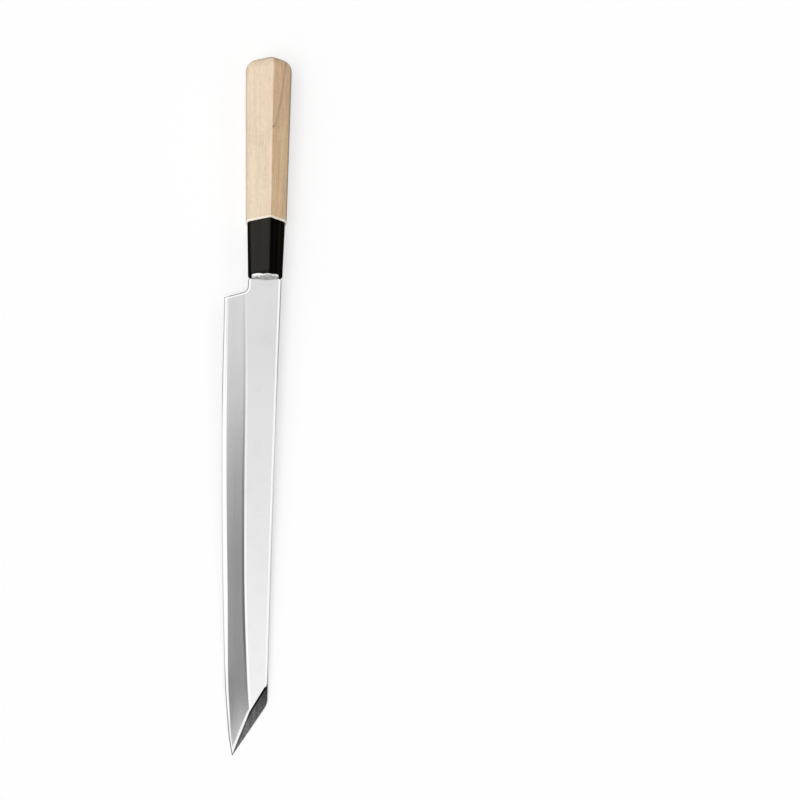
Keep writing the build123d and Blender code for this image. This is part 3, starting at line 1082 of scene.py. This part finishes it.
def rounded_line(tree, places, radii, round_steps, closed):
    """A line through a few places, with each corner rounded by its own radius."""
    line = add_node(tree, "GeometryNodeMeshLine", {"Count": len(places)}).outputs[0]
    index = add_node(tree, "GeometryNodeInputIndex").outputs[0]
    inputs = {"Geometry": line, "Position": chosen(tree, index, places, "VECTOR")}
    line = add_node(tree, "GeometryNodeSetPosition", inputs).outputs[0]
    line = add_node(tree, "GeometryNodeMeshToCurve", {0: line}).outputs[0]
    if closed:
        inputs = {"Geometry": line, "Cyclic": True}
        line = add_node(tree, "GeometryNodeSetSplineCyclic", inputs).outputs[0]
    inputs = {"Curve": line, "Radius": chosen(tree, index, radii), "Count": round_steps}
    return add_node(tree, "GeometryNodeFilletCurve", inputs, mode="POLY").outputs[0]


def ridged_section(tree, width, back, shoulder, ridge, offset, radii, round_steps):
    """A closed line with five corners: two at the back, two shoulders and the ridge."""
    calc = calculator(tree)
    right, left = calc("MULTIPLY", width, 0.5), calc("MULTIPLY", width, -0.5)
    low = calc("MULTIPLY", back, -1.0)
    corners = ((left, low), (left, shoulder), (offset, ridge), (right, shoulder), (right, low))
    places = [place_of(tree, x=x, z=z) for x, z in corners]
    return rounded_line(tree, places, radii, round_steps, closed=True)


# %% Helpers for skins
def point_count(tree, curve):
    node = add_node(tree, "GeometryNodeAttributeDomainSize", {0: curve}, component="CURVE")
    return node.outputs["Point Count"]


def point_place(tree, curve, index):
    """Place of a curve's point by its number."""
    own = add_node(tree, "GeometryNodeInputPosition").outputs[0]
    inputs = {"Geometry": curve, "Value": own, "Index": index}
    kinds = {"data_type": "FLOAT_VECTOR", "domain": "POINT"}
    return add_node(tree, "GeometryNodeSampleIndex", inputs, **kinds).outputs[0]


def between_places(tree, share, start, end):
    inputs = {0: share, 4: start, 5: end}
    return add_node(tree, "ShaderNodeMix", inputs, data_type="VECTOR").outputs[1]


def skin_grid(tree, lengthwise, section, closed):
    """A grid with a row for each point of the lengthwise line and a column for each of a section.

    Gives the grid, each grid point's number round the section, and its place on the lengthwise
    line. One more column, and on a closed line one more row, falls on the first."""
    calc = calculator(tree)
    rows, around = point_count(tree, lengthwise), point_count(tree, section)
    all_rows = calc("ADD", rows, 1.0) if closed else rows
    inputs = {"Vertices X": calc("ADD", around, 1.0), "Vertices Y": all_rows}
    grid = add_node(tree, "GeometryNodeMeshGrid", inputs).outputs["Mesh"]
    index = add_node(tree, "GeometryNodeInputIndex").outputs[0]
    column = calc("FLOOR", calc("DIVIDE", calc("ADD", index, 0.5), all_rows))
    row = calc("SUBTRACT", index, calc("MULTIPLY", column, all_rows))
    row = calc("FLOORED_MODULO", row, rows)
    corner = calc("FLOORED_MODULO", column, around)
    return grid, corner, parts_of(tree, point_place(tree, lengthwise, row))


def moved(tree, mesh, place):
    inputs = {"Geometry": mesh, "Position": place}
    return add_node(tree, "GeometryNodeSetPosition", inputs).outputs[0]


def merged(tree, mesh):
    inputs = {"Geometry": mesh, "Distance": MERGE_DISTANCE}
    return add_node(tree, "GeometryNodeMergeByDistance", inputs).outputs[0]


def stored(tree, mesh, name, value, **kinds):
    inputs = {"Geometry": mesh, "Name": name, "Value": value}
    return add_node(tree, "GeometryNodeStoreNamedAttribute", inputs, **kinds).outputs[0]


def deliver(tree, mesh, material):
    """End a tree with real faces and their material."""
    mesh = add_node(tree, "GeometryNodeRealizeInstances", {0: mesh}).outputs[0]
    inputs = {"Geometry": mesh, "Material": material}
    mesh = add_node(tree, "GeometryNodeSetMaterial", inputs).outputs[0]
    add_node(tree, "NodeGroupOutput", {0: mesh})
    return tree


def made_by(tree, name, values):
    """Run a geometry tree with these inputs, and keep the result as a plain mesh object."""
    carrier = bpy.data.objects.new(name, bpy.data.meshes.new(name + "_seed"))
    scene.collection.objects.link(carrier)
    modifier = carrier.modifiers.new("rule", "NODES")
    modifier.node_group = tree
    for item in tree.interface.items_tree:
        if item.in_out == "INPUT":
            modifier[item.identifier] = values[item.name]
    carrier.modifiers.new("even shading", "WEIGHTED_NORMAL").keep_sharp = True
    seen_by = bpy.context.evaluated_depsgraph_get()
    made = bpy.data.meshes.new_from_object(carrier.evaluated_get(seen_by))
    made.name = name
    bpy.data.objects.remove(carrier)
    piece = bpy.data.objects.new(name, made)
    scene.collection.objects.link(piece)
    corners = (piece.bound_box[0], piece.bound_box[6])
    print(name, len(made.polygons), "faces, box in mm:", in_mm(corners))
    return piece


# %% [markdown]
# ## Handle and ferrule by one rule
#
# Wood and horn share one shape: a section of five sides with rounded corners, which grows a little
# from front to rear, and whose two ends are broken or rounded. A lathe does the same with a circle.
# So one tree makes both pieces. It draws the front and the rear section, and a lengthwise line that
# also says how far each row is drawn in. Every size is an input of the modifier, so the wood and
# the horn are two settings of one tree.

# %% The handle tree
HANDLE_INPUTS = (
    "Front", "Rear", "Middle Height", "Front Width", "Front Ridge", "Front Back",
    "Rear Width", "Rear Ridge", "Rear Back", "Ridge Offset", "Shoulder Height",
    "Ridge Round", "Side Round", "Back Round", "Front Chamfer", "Rear Round",
)


def handle_tree():
    """A skin through the sections at both ends, drawn in where an end is broken or rounded."""
    tree, given = new_geometry_tree("ridged_handle", tree_inputs(HANDLE_INPUTS, ["Round Steps"]))
    calc = calculator(tree)
    back_round, side_round = given["Back Round"], given["Side Round"]
    radii = [back_round, side_round, given["Ridge Round"], side_round, back_round]

    def section(end):
        width, ridge, back = (given[f"{end} {size}"] for size in ("Width", "Ridge", "Back"))
        shoulder = calc("MULTIPLY", width, given["Shoulder Height"])
        offset = calc("MULTIPLY", width, given["Ridge Offset"])
        return ridged_section(tree, width, back, shoulder, ridge, offset, radii, given["Round Steps"])

    front, rear = section("Front"), section("Rear")
    chamfer, rear_round = given["Front Chamfer"], given["Rear Round"]
    front_width, rear_width = given["Front Width"], given["Rear Width"]
    places = [
        place_of(tree, x=calc("MULTIPLY", front_width, 0.5), y=given["Front"]),
        place_of(tree, x=chamfer, y=given["Front"]),
        place_of(tree, y=calc("ADD", given["Front"], chamfer)),
        place_of(tree, y=given["Rear"]),
        place_of(tree, x=calc("MULTIPLY", rear_width, 0.5), y=given["Rear"]),
    ]
    rounds = [0.0, 0.0, 0.0, rear_round, 0.0]
    lengthwise = rounded_line(tree, places, rounds, given["Round Steps"], closed=False)
    grid, corner, (inset, along, _) = skin_grid(tree, lengthwise, front, closed=False)

    length = calc("SUBTRACT", calc("SUBTRACT", given["Rear"], rear_round), given["Front"])
    taper = calc("DIVIDE", calc("SUBTRACT", along, given["Front"]), length)
    taper = calc("MINIMUM", taper, 1.0)
    growth = calc("SUBTRACT", rear_width, front_width)
    width = calc("MULTIPLY_ADD", taper, growth, front_width)
    share = calc("SUBTRACT", 1.0, calc("DIVIDE", calc("MULTIPLY", inset, 2.0), width))
    places = (point_place(tree, line, corner) for line in (front, rear))
    across, _, height = parts_of(tree, between_places(tree, taper, *places))
    height = calc("MULTIPLY_ADD", height, share, given["Middle Height"])
    place = place_of(tree, calc("MULTIPLY", across, share), along, height)
    mesh = merged(tree, moved(tree, grid, place))
    turn = add_node(tree, "GeometryNodeInputMeshEdgeAngle").outputs["Unsigned Angle"]
    inputs = {0: turn, 1: SHARP_TURN}
    sharp = add_node(tree, "FunctionNodeCompare", inputs, operation="GREATER_THAN").outputs[0]
    mesh = stored(tree, mesh, "sharp_edge", sharp, data_type="BOOLEAN", domain="EDGE")
    return deliver(tree, mesh, given["Material"])


ridged_handle = handle_tree()
print("handle tree:", len(ridged_handle.nodes), "nodes")

# %% Wood and horn from the tree
HANDLE_MIDDLE = SPINE_THICKNESS / 2
FERRULE_FRONT = 12.5
FERRULE_REAR = 48.5
SHARED_SIZES = {
    "Middle Height": HANDLE_MIDDLE,
    "Ridge Round": 0.7,
    "Side Round": 4.0,
    "Back Round": 6.5,
}
SHARED_NUMBERS = {"Ridge Offset": 0.11, "Shoulder Height": 0.1, "Round Steps": 10}  # no lengths
WOOD_SIZES = {
    "Front": FERRULE_REAR, "Front Width": 24.8, "Front Ridge": 10.5, "Front Back": 9.9,
    "Rear": BUTT_END, "Rear Width": 28.1, "Rear Ridge": 11.7, "Rear Back": 10.4,
    "Front Chamfer": 1.0, "Rear Round": 8.0,
}
HORN_SIZES = {
    "Front": FERRULE_FRONT, "Front Width": 20.9, "Front Ridge": 9.2, "Front Back": 9.0,
    "Rear": FERRULE_REAR, "Rear Width": 23.0, "Rear Ridge": 10.0, "Rear Back": 9.3,
    "Front Chamfer": 1.8, "Rear Round": 0.0,
}


def handle_piece(name, node, sizes, material):
    """One setting of the tree, in the place of its node."""
    metres = {title: size * MM for title, size in {**SHARED_SIZES, **sizes}.items()}
    piece = made_by(ridged_handle, name, {**metres, **SHARED_NUMBERS, "Material": material})
    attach(piece, "root")
    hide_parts(node)


handle_piece("handle_wood", "handle_body", WOOD_SIZES, bare_wood)
handle_piece("ferrule_horn", "ferrule", HORN_SIZES, black_horn)
print("node boxes in mm:", in_mm(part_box("handle_body")), in_mm(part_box("ferrule")))

# %% [markdown]
# ## Resin at the mouth
#
# Where the steel goes into the horn, the slot was filled with resin, which was wiped off by hand and
# stands round the neck as a rough bead. It is a closed tube: forward along the tang, outward at the
# neck's end, over the roll and back along the slot. The lengthwise line also gives the blend between
# four sections, the tang, the slot, the neck and the bead's outer line. One noise with a fixed seed
# makes the lip and the roll uneven.

# %% The bead tree
BEAD_INPUTS = (
    "Neck End", "Ferrule Face", "Sleeve End", "Middle Height", "Tang Width", "Tang Thickness",
    "Resin Thickness", "Bead Width", "Neck Top", "Neck Bottom", "Bead Shoulder", "Bead Ridge",
    "Bead Back", "Ridge Offset", "Lip", "Lump Height", "Lump Size", "Seed", "Corner Round",
)
BEAD_COUNTS = ("Round Steps", "Corner Steps", "Cuts")
LEAST_ROUND = 0.02 * MM  # keeps the same number of points on sections with square corners
ROLL_ROUND = 0.95  # the roll's radius, as a share of its reach
ON_ROLL = (2.01, 2.04)  # the blend, just past the neck's line, where the roll begins
LIP_NOISE = (0.35, 0.65)  # the lip grows between these values of the noise
LUMP_FADE = 0.2 * MM  # the lumps begin this far under the neck's top


def lumpy(tree, given, place, along, roll, on_roll):
    """How far the bead swells toward the blade: a lip near the neck and lumps on the roll."""
    calc = calculator(tree)
    x, _, z = parts_of(tree, place)
    seeded = place_of(tree, x, calc("MULTIPLY", given["Seed"], given["Lump Size"]), along)
    lumps = noise_of(tree, seeded, scale=calc("DIVIDE", 1.0, given["Lump Size"]), detail=3.0)
    rest = calc("SUBTRACT", 1.0, roll)
    lip = product_of(tree, spread_of(tree, lumps, *LIP_NOISE), given["Lip"], rest, rest)
    bulge = product_of(tree, roll, rest, 4.0)  # it is 1 half way round
    swell = product_of(tree, calc("SUBTRACT", lumps, 0.5), given["Lump Height"], bulge)
    neck_top = given["Neck Top"]
    above = spread_of(tree, z, calc("SUBTRACT", neck_top, LUMP_FADE), neck_top)
    return product_of(tree, calc("ADD", lip, swell), on_roll, above)


def bead_tree():
    """A skin through four sections, closed round its own inside."""
    tree, given = new_geometry_tree("resin_bead", tree_inputs(BEAD_INPUTS, BEAD_COUNTS))
    calc = calculator(tree)

    def section(width, back, shoulder, ridge, offset=0.0, rounding=LEAST_ROUND):
        sizes = (width, back, shoulder, ridge, offset, [rounding] * 5)
        line = ridged_section(tree, *sizes, given["Corner Steps"])
        inputs = {"Curve": line, "Cuts": given["Cuts"]}
        return add_node(tree, "GeometryNodeSubdivideCurve", inputs).outputs[0]

    half = calc("MULTIPLY", given["Tang Thickness"], 0.5)
    slot = calc("ADD", half, given["Resin Thickness"])
    slot_width = calc("MULTIPLY_ADD", given["Resin Thickness"], 2.0, given["Tang Width"])
    width, neck_top, offset = given["Bead Width"], given["Neck Top"], given["Ridge Offset"]
    tang_line = section(given["Tang Width"], half, half, half)
    slot_line = section(slot_width, slot, slot, slot)
    neck_line = section(width, given["Neck Bottom"], neck_top, neck_top, offset)
    roof = (given["Bead Shoulder"], given["Bead Ridge"], offset, given["Corner Round"])
    outer_line = section(width, given["Bead Back"], *roof)

    neck_end, face, inner_end = given["Neck End"], given["Ferrule Face"], given["Sleeve End"]
    reach = calc("SUBTRACT", face, neck_end)
    twice, thrice = calc("MULTIPLY", reach, 2.0), calc("MULTIPLY", reach, 3.0)
    route = (  # blend between the sections, as a multiple of the reach, and place along the knife
        (0.0, inner_end), (0.0, neck_end), (twice, neck_end), (thrice, neck_end),
        (thrice, face), (reach, face), (reach, inner_end),
    )
    places = [place_of(tree, x=x, y=y) for x, y in route]
    rounds = [0.0] * 3 + [calc("MULTIPLY", reach, ROLL_ROUND)] + [0.0] * 3
    lengthwise = rounded_line(tree, places, rounds, given["Round Steps"], closed=True)
    grid, corner, (across, along, _) = skin_grid(tree, lengthwise, outer_line, closed=True)

    blend = calc("DIVIDE", across, reach)
    place = point_place(tree, tang_line, corner)
    for step, line in enumerate((slot_line, neck_line, outer_line)):
        share = calc("SUBTRACT", blend, float(step), clamp=True)
        place = between_places(tree, share, place, point_place(tree, line, corner))
    roll = calc("DIVIDE", calc("SUBTRACT", along, neck_end), reach, clamp=True)
    on_roll = spread_of(tree, blend, *ON_ROLL)
    forward = lumpy(tree, given, place, along, roll, on_roll)
    x, _, z = parts_of(tree, place)
    place = place_of(tree, x, calc("SUBTRACT", along, forward), calc("ADD", z, given["Middle Height"]))
    mesh = moved(tree, grid, place)
    shown_roll = calc("MULTIPLY", roll, on_roll)
    mesh = stored(tree, mesh, "roll", shown_roll, data_type="FLOAT", domain="POINT")
    return deliver(tree, merged(tree, mesh), given["Material"])


resin_bead = bead_tree()
print("bead tree:", len(resin_bead.nodes), "nodes")

# %% [markdown]
# ### Cured resin
#
# The resin is grey and gritty, with a rough face toward the blade. Near the ferrule the top of the
# roll is painted nearly white, a painted highlight that makes the bright arc at the mouth. The mesh
# keeps how far round the roll each point lies, so the painted highlight can be put there.

# %% Bead finish and bead
DARK_RESIN = (0.22, 0.22, 0.215, 1)
GREY_RESIN = (0.66, 0.65, 0.64, 1)
PAINTED_GLINT_COLOUR = (0.95, 0.95, 0.94, 1)
BEAD_CLIMB = 0.9  # the resin reaches this far on to the ferrule's broken rim
SLEEVE_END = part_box("mouth_seal")[1][1] / MM

cured_resin, tree, surface, place = new_finish("cured_resin")
calc = calculator(tree)
grit = noise_of(tree, place, scale=0.9, detail=4.0, roughness=0.7)
colour = blend_colours(tree, spread_of(tree, grit, 0.35, 0.65), DARK_RESIN, GREY_RESIN)
# Painted highlight: the top of the roll near the ferrule is painted nearly white.
painted_glint = spread_of(tree, calc("MULTIPLY_ADD", grit, 0.25, measure_of(tree, "roll")), 0.4, 0.75)
look = {
    "Base Color": blend_colours(tree, painted_glint, colour, PAINTED_GLINT_COLOUR),
    "Roughness": calc("MULTIPLY_ADD", grit, 0.5, 0.15),
    "Normal": relief(tree, grit, 0.25),
}
fill(tree, surface, look)

BEAD_SIZES = {
    "Neck End": NECK_END, "Ferrule Face": FERRULE_FRONT + BEAD_CLIMB, "Sleeve End": SLEEVE_END,
    "Neck Top": flat_height(0, NECK_END) - HANDLE_MIDDLE, "Neck Bottom": HANDLE_MIDDLE,
    "Middle Height": HANDLE_MIDDLE, "Tang Width": TANG[0][0], "Tang Thickness": TANG[0][1],
    "Resin Thickness": 0.6, "Bead Width": 16.4, "Bead Shoulder": 3.1, "Bead Ridge": 7.4,
    "Bead Back": 4.4, "Ridge Offset": 1.8, "Corner Round": 2.0,
    "Lip": 0.3, "Lump Height": 1.0, "Lump Size": 2.0,
}
metres = {title: size * MM for title, size in BEAD_SIZES.items()}
counts = {"Seed": 3.0, "Round Steps": 14, "Corner Steps": 4, "Cuts": 5}
bead = made_by(resin_bead, "mouth_resin", {**metres, **counts, "Material": cured_resin})
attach(bead, "root")
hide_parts("mouth_seal")
print("node box in mm:", in_mm(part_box("mouth_seal")))
